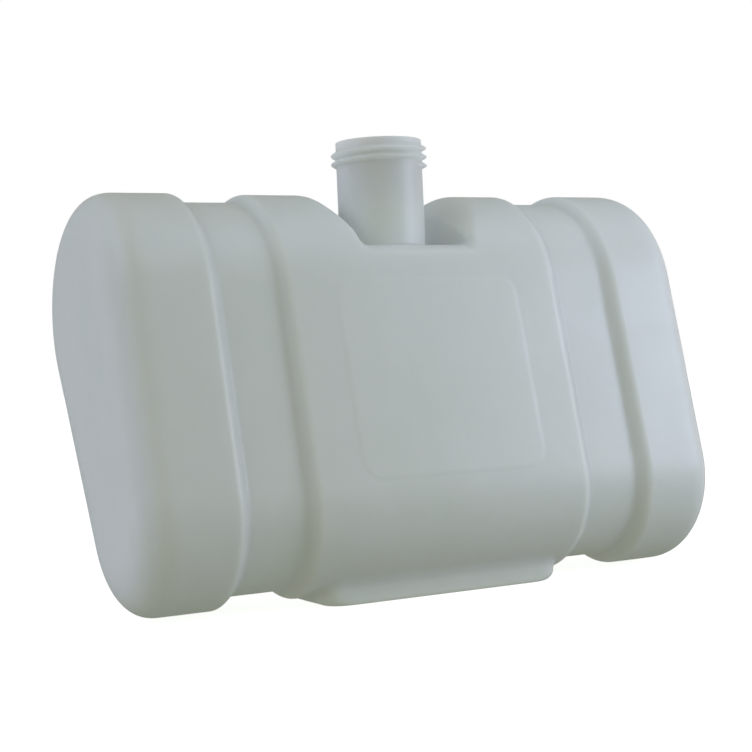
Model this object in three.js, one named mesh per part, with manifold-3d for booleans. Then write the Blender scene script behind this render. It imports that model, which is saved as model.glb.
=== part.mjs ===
// Expansion vessel: a translucent blow-moulded tank with an open threaded neck, two strap grooves
// and two brass hose connectors through the sloping back wall.
//
// Millimetres, +Z up, +X along the tank, -Y towards the labelled front.
// The origin is the centre of the foot's underside, the face that the vessel stands on.

import * as THREE from 'three';
import { mergeVertices } from 'three/addons/utils/BufferGeometryUtils.js';
import Module from 'manifold-3d';

const wasm = await Module();
wasm.setup();

// ---- Driving dimensions ----

// The tank's upright section is the outline around two circles, the upper one further back.
const TANK_LENGTH = 292.4;
const SECTION_HEIGHT = 184.5;
const TOP_RADIUS = 55.4;
const BOTTOM_RADIUS = 43.8;
const LEAN = 33;
const WALL = 3;

// Rounding at the two ends of the tank: how far it reaches along X and across the section.
const END_DEPTH = 16.8;
const END_INSET = 27;
const END_ROUNDNESS = 2.6;

// Two grooves run all the way round the tank for the fixing straps.
const GROOVE_INNER_EDGE = 68;
const GROOVE_OUTER_EDGE = 106;
const GROOVE_SIDE = 6.6;
const GROOVE_DEPTH = 4.5;

// The neck stands in a saddle cut down through the top, from front to back.
const NECK_X = -1.4;
const NECK_Y = LEAN / 2;
const NECK_RADIUS = 20.2;
const NECK_BORE_RADIUS = 17;
const NECK_TOP = 209.8;
const NECK_EDGE = 0.8;
const SADDLE_X = 1.6;
const SADDLE_FLOOR = 159;
const SADDLE_HALF_WIDTH = 28.2;
const SADDLE_EDGE_RADIUS = 12;

// The neck's screw thread, 45 mm across with a 4 mm pitch.
const THREAD_RADIUS = 22.5;
const THREAD_PITCH = 4;
const THREAD_TURNS = 2.15;
const THREAD_LAST_DROP = 3.65;
const THREAD_START = -Math.PI / 3;
const THREAD_FADE = Math.PI / 6;
// Heights of the ridge's foot and of its crest, below and above the thread's line.
const THREAD_FOOT = [-1.3, 1.9];
const THREAD_CREST = [-0.7, 0.1];
const THREAD_SUNK = 0.6;
const THREAD_END_HEIGHT = 0.2;

// Foot pad under the middle of the tank.
const FOOT_DROP = 1.6;
const FOOT_LENGTH = 120;
const FOOT_DEPTH = 51;
const FOOT_CORNER = 9;

// Raised panel on the front for the owner's own label.
const PANEL_WIDTH = 93;
const PANEL_HEIGHT = 91;
const PANEL_CORNER = 10;
const PANEL_RISE = 0.5;

// Hose connectors: x, and the distance up the flat of the back face.
const CONNECTORS = [
  { name: 'outlet', x: 30, rise: 24 },
  { name: 'return', x: -30, rise: 68 },
];
const SHANK_RADIUS = 10.45;
const FLANGE_RADIUS = 15;
const FLANGE_THICKNESS = 3;
const SHANK_LENGTH = 14;
const TAIL_LENGTH = 28;
const TAIL_RADIUS = 7.2;
const TAIL_PLAIN = 4;
const BARB_RADIUS = 8.4;
const BARB_STEP = 0.8;
const BARB_COUNT = 4;
const CONNECTOR_BORE_RADIUS = 5.5;
const SEAL_THICKNESS = 2;
const WASHER_THICKNESS = 1.5;
const NUT_ACROSS_FLATS = 30;
const NUT_THICKNESS = 7;

// Clearance left between pieces that touch, and around the shank.
const GAP = 0.3;

// How far solids that become one piece run into each other.
const OVERLAP = 0.5;

// Fineness of the faceted surfaces.
const SECTION_STEP = 15;
const ROUND_SEGMENTS = 28;
const THREAD_STEPS_PER_TURN = 28;
const PROFILE_STEPS = 6;
const SIDE_STEPS = 4;

// ---- Worked-out sizes ----

const BOTTOM_CENTRE_Z = FOOT_DROP + BOTTOM_RADIUS;
const TOP_CENTRE_Z = FOOT_DROP + SECTION_HEIGHT - TOP_RADIUS;
const CENTRE_DISTANCE = Math.hypot(LEAN, TOP_CENTRE_Z - BOTTOM_CENTRE_Z);
const CENTRE_LINE_ANGLE = Math.atan2(TOP_CENTRE_Z - BOTTOM_CENTRE_Z, LEAN);
const TANGENT_ANGLE = Math.acos((BOTTOM_RADIUS - TOP_RADIUS) / CENTRE_DISTANCE);

// Directions square to the flat front and the flat back, as angles in the YZ plane.
const FRONT_ANGLE = CENTRE_LINE_ANGLE + TANGENT_ANGLE;
const BACK_ANGLE = CENTRE_LINE_ANGLE - TANGENT_ANGLE;
const QUARTER = Math.PI / 2;

// ---- Materials ----

function finish(colour, roughness, metalness) {
  return new THREE.MeshStandardMaterial({ color: colour, roughness, metalness });
}

const NATURAL_PLASTIC = finish(0xb4babb, 0.45, 0);
const BRASS = finish(0xb99654, 0.35, 1);
const BLACK_RUBBER = finish(0x1c1d1e, 0.8, 0);
const WHITE_NYLON = finish(0xd9d8d2, 0.5, 0);

// ---- Building blocks ----

// A closed skin through rings of [x, y, z] points, which run anticlockwise as seen from the last ring.
function loft(rings) {
  const count = rings[0].length;
  const last = rings.length - 1;
  const positions = rings.flat(2);
  const triangles = [];
  for (let ring = 0; ring < last; ring += 1) {
    for (let point = 0; point < count; point += 1) {
      const next = (point + 1) % count;
      const near = ring * count;
      const far = near + count;
      triangles.push(near + point, near + next, far + point);
      triangles.push(near + next, far + next, far + point);
    }
  }
  const capCentre = (ring) => {
    const centre = new THREE.Vector3();
    rings[ring].forEach((point) => centre.add(new THREE.Vector3(...point)));
    positions.push(...centre.divideScalar(count).toArray());
    return positions.length / 3 - 1;
  };
  const start = capCentre(0);
  const end = capCentre(last);
  for (let point = 0; point < count; point += 1) {
    const next = (point + 1) % count;
    triangles.push(start, next, point);
    triangles.push(end, last * count + point, last * count + next);
  }
  const geometry = new THREE.BufferGeometry();
  geometry.setAttribute('position', new THREE.Float32BufferAttribute(positions, 3));
  geometry.setIndex(triangles);
  return geometry;
}

function solidOf(geometry) {
  const bare = geometry.clone();
  bare.deleteAttribute('normal');
  bare.deleteAttribute('uv');
  const welded = mergeVertices(bare);
  const vertProperties = new Float32Array(welded.attributes.position.array);
  const triVerts = new Uint32Array(welded.index.array);
  return new wasm.Manifold(new wasm.Mesh({ numProp: 3, vertProperties, triVerts }));
}

function geometryOf(solid) {
  const mesh = solid.getMesh();
  const geometry = new THREE.BufferGeometry();
  geometry.setAttribute('position', new THREE.BufferAttribute(new Float32Array(mesh.vertProperties), 3));
  geometry.setIndex(new THREE.BufferAttribute(new Uint32Array(mesh.triVerts), 1));
  geometry.computeVertexNormals();
  return geometry;
}

function boxSolid(low, high) {
  const size = high.map((value, axis) => value - low[axis]);
  const centre = high.map((value, axis) => (value + low[axis]) / 2);
  return solidOf(new THREE.BoxGeometry(...size).translate(...centre));
}

function roundedRectangle(width, height, corner) {
  const [x, y] = [width / 2, height / 2];
  const shape = new THREE.Shape();
  shape.moveTo(corner - x, -y);
  shape.absarc(x - corner, corner - y, corner, -QUARTER, 0);
  shape.absarc(x - corner, y - corner, corner, 0, QUARTER);
  shape.absarc(corner - x, y - corner, corner, QUARTER, 2 * QUARTER);
  shape.absarc(corner - x, corner - y, corner, 2 * QUARTER, 3 * QUARTER);
  return shape;
}

// Turns a profile of [radius, height] about the Z axis.
function uprightLathe(profile) {
  const points = profile.map(([radius, height]) => new THREE.Vector2(radius, height));
  return new THREE.LatheGeometry(points, ROUND_SEGMENTS).rotateX(QUARTER);
}

// ---- The tank's shape ----

// Angles along one arc of the section: its two ends, and every whole step well inside them.
function arcAngles(from, to) {
  const step = THREE.MathUtils.degToRad(SECTION_STEP);
  const angles = [from];
  for (let turn = Math.ceil(from / step + 0.3); turn * step < to - 0.3 * step; turn += 1) {
    angles.push(turn * step);
  }
  return [...angles, to];
}

const TOP_ANGLES = arcAngles(BACK_ANGLE, FRONT_ANGLE);
const BOTTOM_ANGLES = arcAngles(FRONT_ANGLE, BACK_ANGLE + 4 * QUARTER);

// The section's outline at x, brought in by inset all round.
function sectionRing(x, inset) {
  const arc = (centreY, centreZ, radius, angles) => angles.map((angle) => [
    x,
    centreY + (radius - inset) * Math.cos(angle),
    centreZ + (radius - inset) * Math.sin(angle),
  ]);
  return [
    ...arc(LEAN, TOP_CENTRE_Z, TOP_RADIUS, TOP_ANGLES),
    ...arc(0, BOTTOM_CENTRE_Z, BOTTOM_RADIUS, BOTTOM_ANGLES),
  ];
}

// Half of the tank's profile, from the middle out, as [x, inset].
function halfProfile() {
  const profile = [];
  const straight = TANK_LENGTH / 2 - END_DEPTH;
  const drop = (part) => GROOVE_DEPTH * (1 - Math.cos(Math.PI * part)) / 2;
  for (let step = 0; step <= SIDE_STEPS; step += 1) {
    const part = step / SIDE_STEPS;
    profile.push([GROOVE_INNER_EDGE + GROOVE_SIDE * part, drop(part)]);
  }
  for (let step = SIDE_STEPS; step >= 0; step -= 1) {
    const part = step / SIDE_STEPS;
    profile.push([GROOVE_OUTER_EDGE - GROOVE_SIDE * part, drop(part)]);
  }
  for (let step = 0; step <= PROFILE_STEPS; step += 1) {
    const along = Math.sin(QUARTER * step / PROFILE_STEPS);
    const across = (1 - along ** END_ROUNDNESS) ** (1 / END_ROUNDNESS);
    profile.push([straight + END_DEPTH * along, END_INSET * (1 - across)]);
  }
  return profile;
}

// The whole tank, or with a thickness the hollow inside it, before the saddle is cut.
function tankSolid(thickness) {
  const half = halfProfile().map(([x, inset]) => {
    const pulledIn = x * (1 - thickness / (TANK_LENGTH / 2));
    return [thickness > 0 && x > GROOVE_OUTER_EDGE ? Math.min(x, pulledIn) : x, inset + thickness];
  });
  const mirrored = half.map(([x, inset]) => [-x, inset]).reverse();
  return solidOf(loft([...mirrored, ...half].map(([x, inset]) => sectionRing(x, inset))));
}

// One rounded shoulder beside the saddle, side -1 or +1, and the same shoulder inside the wall.
function saddleShoulder(side, thickness) {
  const rings = [];
  for (let step = 0; step <= PROFILE_STEPS; step += 1) {
    const angle = QUARTER * step / PROFILE_STEPS;
    const radius = SADDLE_EDGE_RADIUS - thickness;
    const reach = SADDLE_HALF_WIDTH + SADDLE_EDGE_RADIUS - radius * Math.cos(angle);
    rings.push(sectionRing(SADDLE_X + side * reach, SADDLE_EDGE_RADIUS - radius * Math.sin(angle)));
  }
  return solidOf(loft(side > 0 ? rings : rings.reverse()));
}

// The slot stops just short of where the shoulders run out, so the solids overlap a little.
function cutSaddle(tank, thickness) {
  const reach = SADDLE_HALF_WIDTH + SADDLE_EDGE_RADIUS - OVERLAP;
  const slot = boxSolid(
    [SADDLE_X - reach, -TANK_LENGTH, SADDLE_FLOOR - thickness],
    [SADDLE_X + reach, TANK_LENGTH, SECTION_HEIGHT * 2],
  );
  return tank.subtract(slot).add(saddleShoulder(-1, thickness)).add(saddleShoulder(1, thickness));
}

function footSolid(thickness) {
  const [length, width] = [FOOT_LENGTH - 2 * thickness, FOOT_DEPTH - 2 * thickness];
  const outline = roundedRectangle(length, width, FOOT_CORNER - thickness);
  const depth = BOTTOM_RADIUS / 2 - thickness;
  const geometry = new THREE.ExtrudeGeometry(outline, { depth, bevelEnabled: false, curveSegments: 4 });
  return solidOf(geometry.translate(0, 0, thickness));
}

// Half way up the flat of the front face, where the panel sits.
function panelSolid() {
  const outline = roundedRectangle(PANEL_WIDTH, PANEL_HEIGHT, PANEL_CORNER);
  const depth = PANEL_RISE + WALL / 2;
  const geometry = new THREE.ExtrudeGeometry(outline, { depth, bevelEnabled: false, curveSegments: 5 });
  const out = (BOTTOM_RADIUS + TOP_RADIUS) / 2;
  geometry.translate(0, 0, -WALL / 2);
  geometry.rotateX(FRONT_ANGLE - QUARTER);
  geometry.translate(0, LEAN / 2 + out * Math.cos(FRONT_ANGLE), 0);
  geometry.translate(0, 0, (TOP_CENTRE_Z + BOTTOM_CENTRE_Z) / 2 + out * Math.sin(FRONT_ANGLE));
  return solidOf(geometry);
}

function neckSolid() {
  const base = SADDLE_FLOOR - WALL / 2;
  return solidOf(uprightLathe([
    [0, base],
    [NECK_RADIUS, base],
    [NECK_RADIUS, NECK_TOP - NECK_EDGE],
    [NECK_RADIUS - NECK_EDGE, NECK_TOP],
    [0, NECK_TOP],
  ]).translate(NECK_X, NECK_Y, 0));
}

function neckBoreSolid() {
  return solidOf(uprightLathe([
    [0, SADDLE_FLOOR - 3 * WALL],
    [NECK_BORE_RADIUS, SADDLE_FLOOR - 3 * WALL],
    [NECK_BORE_RADIUS, NECK_TOP + WALL],
    [0, NECK_TOP + WALL],
  ]).translate(NECK_X, NECK_Y, 0));
}

// One right-hand ridge, sloping above and steep below, that fades in and out at its two ends.
function threadSolid() {
  const steps = Math.round(THREAD_TURNS * THREAD_STEPS_PER_TURN);
  const total = THREAD_TURNS * 4 * QUARTER;
  const root = NECK_RADIUS - THREAD_SUNK;
  const low = root + THREAD_END_HEIGHT;
  const rings = [];
  for (let step = 0; step <= steps; step += 1) {
    const angle = total * step / steps;
    const fade = Math.min(1, angle / THREAD_FADE, (total - angle) / THREAD_FADE);
    const crest = low + (THREAD_RADIUS - low) * fade;
    const turnsLeft = THREAD_TURNS - angle / (4 * QUARTER);
    const height = NECK_TOP - THREAD_LAST_DROP - THREAD_PITCH * turnsLeft;
    const [across, along] = [Math.cos(THREAD_START + angle), Math.sin(THREAD_START + angle)];
    const outline = [
      [root, THREAD_FOOT[0]],
      [root, THREAD_FOOT[1]],
      [crest, THREAD_CREST[1]],
      [crest, THREAD_CREST[0]],
    ];
    rings.push(outline.map(([radius, rise]) => [
      NECK_X + radius * across,
      NECK_Y + radius * along,
      height + rise,
    ]));
  }
  return solidOf(loft(rings));
}

// ---- The connectors' places ----

// Where a connector's axis leaves the outside of the back wall.
function connectorPlace({ x, rise }) {
  return new THREE.Vector3(
    x,
    BOTTOM_RADIUS * Math.cos(BACK_ANGLE) - rise * Math.sin(BACK_ANGLE),
    BOTTOM_CENTRE_Z + BOTTOM_RADIUS * Math.sin(BACK_ANGLE) + rise * Math.cos(BACK_ANGLE),
  );
}

// A group whose +Y axis points straight out of the back wall at the connector.
function connectorGroup(connector) {
  const group = new THREE.Group();
  group.position.copy(connectorPlace(connector));
  group.rotation.x = BACK_ANGLE;
  return group;
}

function connectorHole(connector) {
  const radius = SHANK_RADIUS + GAP;
  const hole = new THREE.CylinderGeometry(radius, radius, 4 * WALL, ROUND_SEGMENTS);
  hole.rotateX(BACK_ANGLE);
  hole.translate(...connectorPlace(connector).toArray());
  return solidOf(hole);
}

// ---- Sub-parts ----

function vesselBody() {
  const outside = cutSaddle(tankSolid(0), 0)
    .add(footSolid(0))
    .add(panelSolid())
    .add(neckSolid())
    .add(threadSolid());
  const inside = cutSaddle(tankSolid(WALL), WALL)
    .add(footSolid(WALL))
    .add(neckBoreSolid());
  let shell = outside.subtract(inside);
  for (const connector of CONNECTORS) {
    shell = shell.subtract(connectorHole(connector));
  }
  return new THREE.Mesh(geometryOf(shell), NATURAL_PLASTIC);
}

// A flat ring from height low to height high along Y.
function ring(innerRadius, outerRadius, low, high) {
  return new THREE.LatheGeometry([
    new THREE.Vector2(innerRadius, low),
    new THREE.Vector2(outerRadius, low),
    new THREE.Vector2(outerRadius, high),
    new THREE.Vector2(innerRadius, high),
    new THREE.Vector2(innerRadius, low),
  ], ROUND_SEGMENTS);
}

// Flange inside the tank, shank through the wall, and a barbed tail for the hose.
function connectorBody() {
  const flangeTop = -WALL - SEAL_THICKNESS - 2 * GAP;
  const tailEnd = SHANK_LENGTH + TAIL_LENGTH;
  const barbLength = (TAIL_LENGTH - TAIL_PLAIN) / BARB_COUNT;
  const profile = [
    [CONNECTOR_BORE_RADIUS, flangeTop - FLANGE_THICKNESS],
    [FLANGE_RADIUS, flangeTop - FLANGE_THICKNESS],
    [FLANGE_RADIUS, flangeTop],
    [SHANK_RADIUS, flangeTop],
    [SHANK_RADIUS, SHANK_LENGTH],
    [TAIL_RADIUS, SHANK_LENGTH],
  ];
  for (let barb = BARB_COUNT; barb > 0; barb -= 1) {
    const start = tailEnd - barbLength * barb;
    profile.push([TAIL_RADIUS, start]);
    profile.push([BARB_RADIUS, start + BARB_STEP]);
  }
  profile.push([TAIL_RADIUS, tailEnd]);
  profile.push([CONNECTOR_BORE_RADIUS, tailEnd]);
  profile.push([CONNECTOR_BORE_RADIUS, flangeTop - FLANGE_THICKNESS]);
  const points = profile.map(([radius, height]) => new THREE.Vector2(radius, height));
  return new THREE.Mesh(new THREE.LatheGeometry(points, ROUND_SEGMENTS), BRASS);
}

function innerSeal() {
  const top = -WALL - GAP;
  return new THREE.Mesh(ring(SHANK_RADIUS + GAP, FLANGE_RADIUS, top - SEAL_THICKNESS, top), BLACK_RUBBER);
}

function outerWasher() {
  const washer = ring(SHANK_RADIUS + GAP, FLANGE_RADIUS, GAP, GAP + WASHER_THICKNESS);
  return new THREE.Mesh(washer, WHITE_NYLON);
}

function backNut() {
  const cornerRadius = NUT_ACROSS_FLATS / Math.sqrt(3);
  const corners = [0, 1, 2, 3, 4, 5].map((side) => {
    const angle = side * Math.PI / 3;
    return new THREE.Vector2(cornerRadius * Math.cos(angle), cornerRadius * Math.sin(angle));
  });
  const hexagon = new THREE.Shape(corners);
  hexagon.holes.push(new THREE.Path().absarc(0, 0, SHANK_RADIUS + GAP, 0, 4 * QUARTER));
  const geometry = new THREE.ExtrudeGeometry(hexagon, {
    depth: NUT_THICKNESS,
    bevelEnabled: false,
    curveSegments: ROUND_SEGMENTS / 2,
  });
  geometry.rotateX(-QUARTER);
  geometry.translate(0, 2 * GAP + WASHER_THICKNESS, 0);
  return new THREE.Mesh(geometry, BRASS);
}

// ---- Assembly ----

function named(mesh, name) {
  mesh.name = name;
  return mesh;
}

const vessel = new THREE.Group();
vessel.add(named(vesselBody(), 'vessel_body'));
for (const connector of CONNECTORS) {
  const group = connectorGroup(connector);
  group.add(named(connectorBody(), `${connector.name}_hose_connector`));
  group.add(named(innerSeal(), `${connector.name}_inner_seal`));
  group.add(named(outerWasher(), `${connector.name}_outer_washer`));
  group.add(named(backNut(), `${connector.name}_back_nut`));
  vessel.add(group);
}

export default vessel;
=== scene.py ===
import itertools
import math

import bmesh
import bpy
import numpy as np
from mathutils import Matrix, Vector


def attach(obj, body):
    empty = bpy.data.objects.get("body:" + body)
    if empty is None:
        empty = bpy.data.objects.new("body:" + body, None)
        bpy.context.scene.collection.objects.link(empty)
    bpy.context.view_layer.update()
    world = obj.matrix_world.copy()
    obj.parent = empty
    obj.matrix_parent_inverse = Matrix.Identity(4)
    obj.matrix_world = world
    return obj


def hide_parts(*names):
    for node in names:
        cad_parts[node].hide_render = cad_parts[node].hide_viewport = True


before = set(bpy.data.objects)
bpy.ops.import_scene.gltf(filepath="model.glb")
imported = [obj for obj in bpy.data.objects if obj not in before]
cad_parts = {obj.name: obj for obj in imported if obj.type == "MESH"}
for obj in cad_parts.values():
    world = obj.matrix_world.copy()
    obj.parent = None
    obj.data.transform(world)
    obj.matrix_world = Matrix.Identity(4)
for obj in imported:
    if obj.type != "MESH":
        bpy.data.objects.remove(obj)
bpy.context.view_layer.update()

# ---- Sizes, in millimetres, in the CAD model's frame ----

MM = 0.001

# The tank's upright section is the outline round two circles, the upper one further back.
TANK_LENGTH = 292.4
TOP_RADIUS = 55.4
BOTTOM_RADIUS = 43.8
LEAN = 33.0
BOTTOM_Z = 45.4
TOP_Z = 130.7
WALL = 3.0

END_DEPTH = 16.8
END_INSET = 27.0
# The ends are fuller at the top and rounder at the bottom.
END_ROUNDNESS_HIGH = 2.7
END_ROUNDNESS_LOW = 2.5
# What changes with height is all changed at this height.
FULL_HEIGHT = 180

# The middles of each groove's two side walls, and the walls' width on the front and underneath.
GROOVE_INNER = 70.6
GROOVE_OUTER = 102.2
GROOVE_SIDE = 8.0
GROOVE_SIDE_UNDER = 10.5
# The grooves are a little deeper low down, and the crest between them is a little lower.
GROOVE_DEPTH_LOW = 5.3
GROOVE_DEPTH_HIGH = 4.05
CREST_DROP = 0.45
CREST_DROP_FROM = 110
CREST_DROP_OVER = 50
# The underside begins below one height and is complete some way further down.
UNDERSIDE_FROM = 36
UNDERSIDE_OVER = 32
BELLY_LIFT = 1.0

NECK_X = -1.4
NECK_Y = 16.5
NECK_RADIUS = 20.2
NECK_TAPER = 0.1
NECK_BORE = 17.0
NECK_TOP = 209.8
NECK_FILLET = 1.6
BORE_FILLET = 1.5
LIP_ROUNDING = 0.4
SADDLE_X = 1.6
SADDLE_FLOOR = 159.0
SADDLE_HALF_WIDTH = 28.2
SADDLE_CORNER = 3.6
SADDLE_FLOOR_EDGE = 5.0
SADDLE_WALL_EDGE = 15.0
SADDLE_EASE = 24.0

THREAD_PITCH = 4.0
THREAD_TURNS = 2.15
THREAD_LAST_DROP = 3.95
THREAD_START = -math.pi / 3
# The share of a turn over which the thread grows to its full height at either end.
THREAD_FADE = 1 / 12
# One ridge of the thread, from below: height about the thread's line, and how far it stands out.
NECK_RIDGE = [
    (-1.75, 0.0), (-1.55, 0.07), (-1.3, 0.38), (-1.05, 0.95), (-0.8, 1.52),
    (-0.5, 2.04), (-0.2, 2.36), (0.05, 2.45), (0.3, 2.36), (0.6, 1.98),
    (0.95, 1.38), (1.3, 0.78), (1.65, 0.32), (1.95, 0.07), (2.2, 0.0),
]

FOOT_X = 1.7
FOOT_LENGTH = 123.4
FOOT_DEPTH = 51.0
FOOT_CORNER = 9.0
FOOT_EDGE = 1.6
FOOT_END_EDGE = 5.0
# The foot's edge grows softer from this far before either end, over the second length.
FOOT_END_FROM = 16
FOOT_END_OVER = 14
FOOT_BLEND = 3.0
FOOT_TOP = 20.0

PANEL_WIDTH = 93.0
PANEL_HEIGHT = 91.0
PANEL_CORNER = 10.0
PANEL_RISE = 0.28
PANEL_EDGE = 0.9
# The panel stops this far behind the front wall, so that it doesn't show on the back.
PANEL_REACH = 2.5

# Where the two hose connectors leave the back wall.
CONNECTORS = {
    "outlet": (30.0, 49.944, 45.647),
    "return": (-30.0, 70.896, 84.339),
}
# Heights out from the wall's outer face, along a connector's own axis.
GAP = 0.3
SHANK_RADIUS = 10.45
SHANK_LENGTH = 14.0
HOLE_RADIUS = SHANK_RADIUS + GAP
FLANGE_RADIUS = 15.0
FLANGE_THICKNESS = 3.0
FLANGE_TOP = -5.6
PIPE_PITCH = 1.814
PIPE_DEPTH = 1.1
TAIL_END = 42.0
TAIL_RADIUS = 7.2
TAIL_PLAIN = 4.0
BARB_RADIUS = 8.4
BARB_COUNT = 4
BARB_STEP = 0.8
CONNECTOR_BORE = 5.5
SEAL = (-5.3, -3.3)
WASHER = (0.3, 1.8)
NUT = (2.1, 9.1)
NUT_ACROSS_FLATS = 30.0

# The line from the lower circle's middle to the upper one's, and the flat walls beside it.
CENTRES = math.hypot(LEAN, TOP_Z - BOTTOM_Z)
LINE = np.array([LEAN, TOP_Z - BOTTOM_Z]) / CENTRES
TAPER = (BOTTOM_RADIUS - TOP_RADIUS) / CENTRES
FLAT = math.sqrt(1 - TAPER * TAPER)
LINE_ANGLE = math.atan2(LINE[1], LINE[0])
FRONT_ANGLE = LINE_ANGLE + math.acos(TAPER)
BACK_ANGLE = LINE_ANGLE - math.acos(TAPER)
MEAN_RADIUS = (TOP_RADIUS + BOTTOM_RADIUS) / 2


# ---- The tank's shape, as fields that are negative inside ----

def ramp(t):
    """Rises smoothly from 0 to 1."""
    t = np.clip(t, 0, 1)
    return t * t * t * (t * (6 * t - 15) + 10)


def ramp_slope(t):
    """How steeply ramp(t) rises."""
    t = np.clip(t, 0, 1)
    return 30 * t * t * (1 - t) * (1 - t)


def both(a, b, radius):
    """Inside a and b, with a rounded edge."""
    near = np.hypot(np.maximum(a + radius, 0), np.maximum(b + radius, 0))
    return np.minimum(-radius, np.maximum(a, b)) + near


def either(a, b, radius):
    """Inside a or b, with a rounded inner corner."""
    near = np.hypot(np.maximum(radius - a, 0), np.maximum(radius - b, 0))
    return np.maximum(radius, np.minimum(a, b)) - near


def rounded_rectangle(a, b, width, height, corner):
    """Distance from a rounded rectangle's outline round the middle."""
    a = np.abs(a) - width / 2 + corner
    b = np.abs(b) - height / 2 + corner
    return np.hypot(np.maximum(a, 0), np.maximum(b, 0)) + np.minimum(np.maximum(a, b), 0) - corner


def section(y, z):
    """Distance from the outline round the two circles."""
    along = y * LINE[0] + (z - BOTTOM_Z) * LINE[1]
    across = np.abs(y * LINE[1] - (z - BOTTOM_Z) * LINE[0])
    place = FLAT * along - TAPER * across
    low = np.hypot(along, across) - BOTTOM_RADIUS
    high = np.hypot(along - CENTRES, across) - TOP_RADIUS
    side = FLAT * across + TAPER * along - BOTTOM_RADIUS
    return np.where(place < 0, low, np.where(place > FLAT * CENTRES, high, side))


def tank(x, y, z):
    """The tank with its grooves and domed ends, before the saddle is cut."""
    away = section(y, z)
    out = np.abs(x)
    under = ramp((UNDERSIDE_FROM - z) / UNDERSIDE_OVER)
    side = GROOVE_SIDE + (GROOVE_SIDE_UNDER - GROOVE_SIDE) * under
    down = (out - GROOVE_INNER) / side + 0.5
    up = (out - GROOVE_OUTER) / side + 0.5
    height = np.clip(z / FULL_HEIGHT, 0, 1)
    depth = GROOVE_DEPTH_LOW + (GROOVE_DEPTH_HIGH - GROOVE_DEPTH_LOW) * height
    middle = CREST_DROP * ramp((z - CREST_DROP_FROM) / CREST_DROP_OVER) + BELLY_LIFT * under
    inset = depth * (ramp(down) - ramp(up)) + middle * (1 - ramp(down))
    slope = depth / side * (ramp_slope(down) - ramp_slope(up))
    wall = (away + inset) / np.hypot(1, slope)
    u = np.maximum((out - TANK_LENGTH / 2 + END_DEPTH) / END_DEPTH, 0)
    v = np.maximum(away / END_INSET + 1, 0)
    roundness = END_ROUNDNESS_LOW + (END_ROUNDNESS_HIGH - END_ROUNDNESS_LOW) * height
    reach = np.maximum((u ** roundness + v ** roundness) ** (1 / roundness), 0.05)
    power = roundness - 1
    steep = np.hypot((u / reach) ** power / END_DEPTH, (v / reach) ** power / END_INSET)
    end = (reach - 1) / np.maximum(steep, 0.5 / END_INSET)
    return np.maximum(wall, end)


def panel_rise(x, y, z):
    """How far the label panel stands out of the front."""
    back, high = y - LEAN / 2, z - (TOP_Z + BOTTOM_Z) / 2
    up = back * -math.sin(FRONT_ANGLE) + high * math.cos(FRONT_ANGLE)
    away = back * math.cos(FRONT_ANGLE) + high * math.sin(FRONT_ANGLE)
    edge = rounded_rectangle(x, up, PANEL_WIDTH, PANEL_HEIGHT, PANEL_CORNER)
    on_front = ramp(away - MEAN_RADIUS + PANEL_REACH)
    return PANEL_RISE * ramp(0.5 - edge / (2 * PANEL_EDGE)) * on_front


def vessel(x, y, z):
    """The whole vessel's outside, without its neck."""
    beside = SADDLE_HALF_WIDTH - np.abs(x - SADDLE_X)
    kept = either(z - SADDLE_FLOOR, beside, SADDLE_CORNER)
    higher = ramp((z - SADDLE_FLOOR) / SADDLE_EASE)
    edge = SADDLE_FLOOR_EDGE + (SADDLE_WALL_EDGE - SADDLE_FLOOR_EDGE) * higher
    body = both(tank(x, y, z), kept, edge)
    plan = rounded_rectangle(x - FOOT_X, y, FOOT_LENGTH, FOOT_DEPTH, FOOT_CORNER)
    near_end = ramp((np.abs(x - FOOT_X) - FOOT_LENGTH / 2 + FOOT_END_FROM) / FOOT_END_OVER)
    foot = both(plan, -z, FOOT_EDGE + (FOOT_END_EDGE - FOOT_EDGE) * near_end)
    foot = np.maximum(foot, z - FOOT_TOP)
    return np.maximum(either(body, foot, FOOT_BLEND), -z) - panel_rise(x, y, z)


def cavity(x, y, z):
    """The hollow inside the wall."""
    return vessel(x, y, z) + WALL


# ---- Turning a field into a mesh ----

# How many layers are worked out at once.
SLAB = 16
# The least squared slope that a point's step is divided by.
LEAST_SLOPE = 0.2
# How far each point moves towards the middle of its neighbours, of the whole way.
SLIDE = 0.6


def slope_of(field, points, reach=0.02):
    """The field's slope at points, from either side of each."""
    steps = np.eye(3) * reach
    rises = [field(*(points + s).T) - field(*(points - s).T) for s in steps]
    return np.stack(rises, 1) / (2 * reach)


def settle(field, points, rounds, furthest):
    """Moves points onto the field's zero surface."""
    for _ in range(rounds):
        slope = slope_of(field, points)
        size = np.maximum((slope * slope).sum(1), LEAST_SLOPE)
        move = -(field(*points.T) / size)[:, None] * slope
        length = np.linalg.norm(move, axis=1, keepdims=True)
        points = points + move * np.minimum(1, furthest / np.maximum(length, 1e-9))
    return points


def even_out(field, points, quads, rounds, furthest):
    """Slides points along the surface towards the middle of their neighbours."""
    pairs = np.concatenate([quads[:, [a, (a + 1) % 4]] for a in range(4)])
    pairs = np.unique(np.sort(pairs, 1), axis=0)
    ends = np.concatenate([pairs[:, 0], pairs[:, 1]])
    others = np.concatenate([pairs[:, 1], pairs[:, 0]])
    count = np.bincount(ends, minlength=len(points))[:, None]
    for _ in range(rounds):
        totals = [np.bincount(ends, points[others, a], len(points)) for a in range(3)]
        move = SLIDE * (np.stack(totals, 1) / count - points)
        normal = slope_of(field, points)
        normal /= np.maximum(np.linalg.norm(normal, axis=1, keepdims=True), 1e-9)
        move -= (move * normal).sum(1, keepdims=True) * normal
        points = settle(field, points + move, 1, furthest)
    return points


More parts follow.
